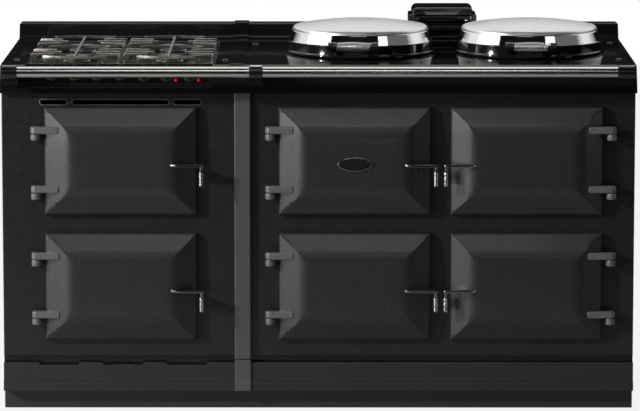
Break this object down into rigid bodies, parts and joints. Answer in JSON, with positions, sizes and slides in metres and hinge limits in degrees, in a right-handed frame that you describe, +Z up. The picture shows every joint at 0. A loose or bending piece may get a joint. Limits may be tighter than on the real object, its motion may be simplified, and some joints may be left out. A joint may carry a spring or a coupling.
{
  "type": "cast iron range cooker",
  "caption": "Wide enamelled range cooker with a gas hob unit, domed lids over round hotplates, hinged cast doors, a front handrail and a vent cowl.",
  "frame": {"origin": "on the floor at the centre of the footprint's box, which takes in the handrail", "axes": "+Z up, the doors face -Y, +X to the right as seen from the front"},
  "size_m": [1.5938, 0.788, 0.968],
  "materials": {
    "plinth_paint": "satin dark paint",
    "pewter_enamel": "satin vitreous enamel with a fine speckle",
    "strip_enamel": "satin vitreous enamel",
    "black_enamel": "gloss vitreous enamel",
    "polished_steel": "polished",
    "burner_alloy": "matt",
    "cast_black": "satin enamel",
    "tap_brass": "machined",
    "hotplate_iron": "machined",
    "oven_iron": "matt",
    "shelf_wire": "bright",
    "element_sheath": "matt",
    "insulation_wool": "mineral wool",
    "panel_enamel": "satin black",
    "skirt_enamel": "gloss vitreous enamel",
    "lamp_red": "clear red lens",
    "box_steel": "plated",
    "door_enamel": "satin vitreous enamel on cast iron",
    "grip_chrome": "polished",
    "plaque_chrome": "polished rim, dark enamel face",
    "lid_chrome": "polished",
    "coil_chrome": "polished wire",
    "knob_black": "gloss black",
    "fan_steel": "plain",
    "dial_black": "satin"
  },
  "bodies": {
    "range": {"plinth": "plinth_paint", "base_castings": "pewter_enamel", "outer_panels": "pewter_enamel", "unit_front_plate": "pewter_enamel", "cooker_front_plate": "pewter_enamel", "front_joint_strip": "strip_enamel", "top_joint_strip": "black_enamel", "unit_top_plate": "black_enamel", "cooker_top_plate": "black_enamel", "handrails": "polished_steel", "handrail_brackets": "black_enamel", "vent_cowl": "black_enamel", "burner_heads": "burner_alloy", "burner_caps": "cast_black", "gas_manifold": "tap_brass", "hotplates": "hotplate_iron", "ovens": "oven_iron", "oven_shelves": "shelf_wire", "heating_elements": "element_sheath", "insulation": "insulation_wool", "knob_panel": "panel_enamel", "hinge_posts": "pewter_enamel", "lid_hinge_brackets": "skirt_enamel", "indicator_lamps": "lamp_red", "control_box": "box_steel", "fan_motor": "box_steel", "plate_caps": "black_enamel"},
    "fan_oven_leaf": {"fan_oven_door": "door_enamel", "fan_oven_grip": "grip_chrome"},
    "grill_oven_leaf": {"grill_oven_door": "door_enamel", "grill_oven_grip": "grip_chrome"},
    "control_leaf": {"control_door": "door_enamel", "control_grip": "grip_chrome", "door_plaque": "plaque_chrome"},
    "simmering_oven_leaf": {"simmering_oven_door": "door_enamel", "simmering_oven_grip": "grip_chrome"},
    "roasting_oven_leaf": {"roasting_oven_door": "door_enamel", "roasting_oven_grip": "grip_chrome"},
    "baking_oven_leaf": {"baking_oven_door": "door_enamel", "baking_oven_grip": "grip_chrome"},
    "left_lid": {"left_lid_dome": "lid_chrome", "left_lid_skirt": "skirt_enamel", "left_lid_coil": "coil_chrome"},
    "right_lid": {"right_lid_dome": "lid_chrome", "right_lid_skirt": "skirt_enamel", "right_lid_coil": "coil_chrome"},
    "spindle_1": {"tap_spindle_1": "tap_brass"},
    "knob_1": {"gas_knob_1": "knob_black"},
    "spindle_2": {"tap_spindle_2": "tap_brass"},
    "knob_2": {"gas_knob_2": "knob_black"},
    "spindle_3": {"tap_spindle_3": "tap_brass"},
    "knob_3": {"gas_knob_3": "knob_black"},
    "spindle_4": {"tap_spindle_4": "tap_brass"},
    "knob_4": {"gas_knob_4": "knob_black"},
    "oven_control_1": {"oven_knob_1": "knob_black"},
    "oven_control_2": {"oven_knob_2": "knob_black"},
    "oven_control_3": {"oven_knob_3": "knob_black"},
    "supports": {"pan_supports": "cast_black"},
    "fan": {"oven_fan": "fan_steel"},
    "dial": {"thermostat_dial": "dial_black"}
  },
  "joints": [
    {"name": "fan_oven_door_swing", "type": "hinge", "parent": "range", "child": "fan_oven_leaf", "pos_m": [-0.708, -0.324, 0.631], "axis": [0, 0, -1], "range_deg": [0, 120]},
    {"name": "grill_oven_door_swing", "type": "hinge", "parent": "range", "child": "grill_oven_leaf", "pos_m": [-0.708, -0.324, 0.313], "axis": [0, 0, -1], "range_deg": [0, 120]},
    {"name": "control_door_swing", "type": "hinge", "parent": "range", "child": "control_leaf", "pos_m": [-0.121, -0.324, 0.631], "axis": [0, 0, -1], "range_deg": [0, 120]},
    {"name": "simmering_oven_door_swing", "type": "hinge", "parent": "range", "child": "simmering_oven_leaf", "pos_m": [-0.121, -0.324, 0.313], "axis": [0, 0, -1], "range_deg": [0, 120]},
    {"name": "roasting_oven_door_swing", "type": "hinge", "parent": "range", "child": "roasting_oven_leaf", "pos_m": [0.734, -0.324, 0.631], "axis": [0, 0, 1], "range_deg": [0, 120]},
    {"name": "baking_oven_door_swing", "type": "hinge", "parent": "range", "child": "baking_oven_leaf", "pos_m": [0.734, -0.324, 0.313], "axis": [0, 0, 1], "range_deg": [0, 120]},
    {"name": "left_lid_lift", "type": "hinge", "parent": "range", "child": "left_lid", "pos_m": [0.107, 0.221, 0.89], "axis": [-1, 0, 0], "range_deg": [0, 85]},
    {"name": "right_lid_lift", "type": "hinge", "parent": "range", "child": "right_lid", "pos_m": [0.541, 0.221, 0.89], "axis": [-1, 0, 0], "range_deg": [0, 85]},
    {"name": "gas_knob_1_turn", "type": "hinge", "parent": "range", "child": "spindle_1", "pos_m": [-0.666, -0.29487, 0.845], "axis": [0, -0.848, 0.53], "range_deg": [0, 200]},
    {"name": "gas_knob_1_push", "type": "slide", "parent": "spindle_1", "child": "knob_1", "axis": [0, 0.848, -0.53], "range_m": [0, 0.003], "stiffness_N_per_m": 300, "springref_m": -0.004},
    {"name": "gas_knob_2_turn", "type": "hinge", "parent": "range", "child": "spindle_2", "pos_m": [-0.6085, -0.29487, 0.845], "axis": [0, -0.848, 0.53], "range_deg": [0, 200]},
    {"name": "gas_knob_2_push", "type": "slide", "parent": "spindle_2", "child": "knob_2", "axis": [0, 0.848, -0.53], "range_m": [0, 0.003], "stiffness_N_per_m": 300, "springref_m": -0.004},
    {"name": "gas_knob_3_turn", "type": "hinge", "parent": "range", "child": "spindle_3", "pos_m": [-0.551, -0.29487, 0.845], "axis": [0, -0.848, 0.53], "range_deg": [0, 200]},
    {"name": "gas_knob_3_push", "type": "slide", "parent": "spindle_3", "child": "knob_3", "axis": [0, 0.848, -0.53], "range_m": [0, 0.003], "stiffness_N_per_m": 300, "springref_m": -0.004},
    {"name": "gas_knob_4_turn", "type": "hinge", "parent": "range", "child": "spindle_4", "pos_m": [-0.4935, -0.29487, 0.845], "axis": [0, -0.848, 0.53], "range_deg": [0, 200]},
    {"name": "gas_knob_4_push", "type": "slide", "parent": "spindle_4", "child": "knob_4", "axis": [0, 0.848, -0.53], "range_m": [0, 0.003], "stiffness_N_per_m": 300, "springref_m": -0.004},
    {"name": "oven_knob_1_turn", "type": "hinge", "parent": "range", "child": "oven_control_1", "pos_m": [-0.436, -0.29487, 0.845], "axis": [0, 0.848, -0.53], "range_deg": [0, 300]},
    {"name": "oven_knob_2_turn", "type": "hinge", "parent": "range", "child": "oven_control_2", "pos_m": [-0.3785, -0.29487, 0.845], "axis": [0, 0.848, -0.53], "range_deg": [0, 300]},
    {"name": "oven_knob_3_turn", "type": "hinge", "parent": "range", "child": "oven_control_3", "pos_m": [-0.321, -0.29487, 0.845], "axis": [0, 0.848, -0.53], "range_deg": [0, 300]},
    {"name": "pan_supports_lift", "type": "slide", "parent": "range", "child": "supports", "axis": [0, 0, 1], "range_m": [0, 0.05]},
    {"name": "oven_fan_spin", "type": "hinge", "parent": "range", "child": "fan", "pos_m": [-0.496, 0.176, 0.631], "axis": [0, 1, 0], "continuous": true},
    {"name": "thermostat_dial_turn", "type": "hinge", "parent": "range", "child": "dial", "pos_m": [0.091, -0.196, 0.631], "axis": [0, 1, 0], "range_deg": [0, 270]}
  ]
}
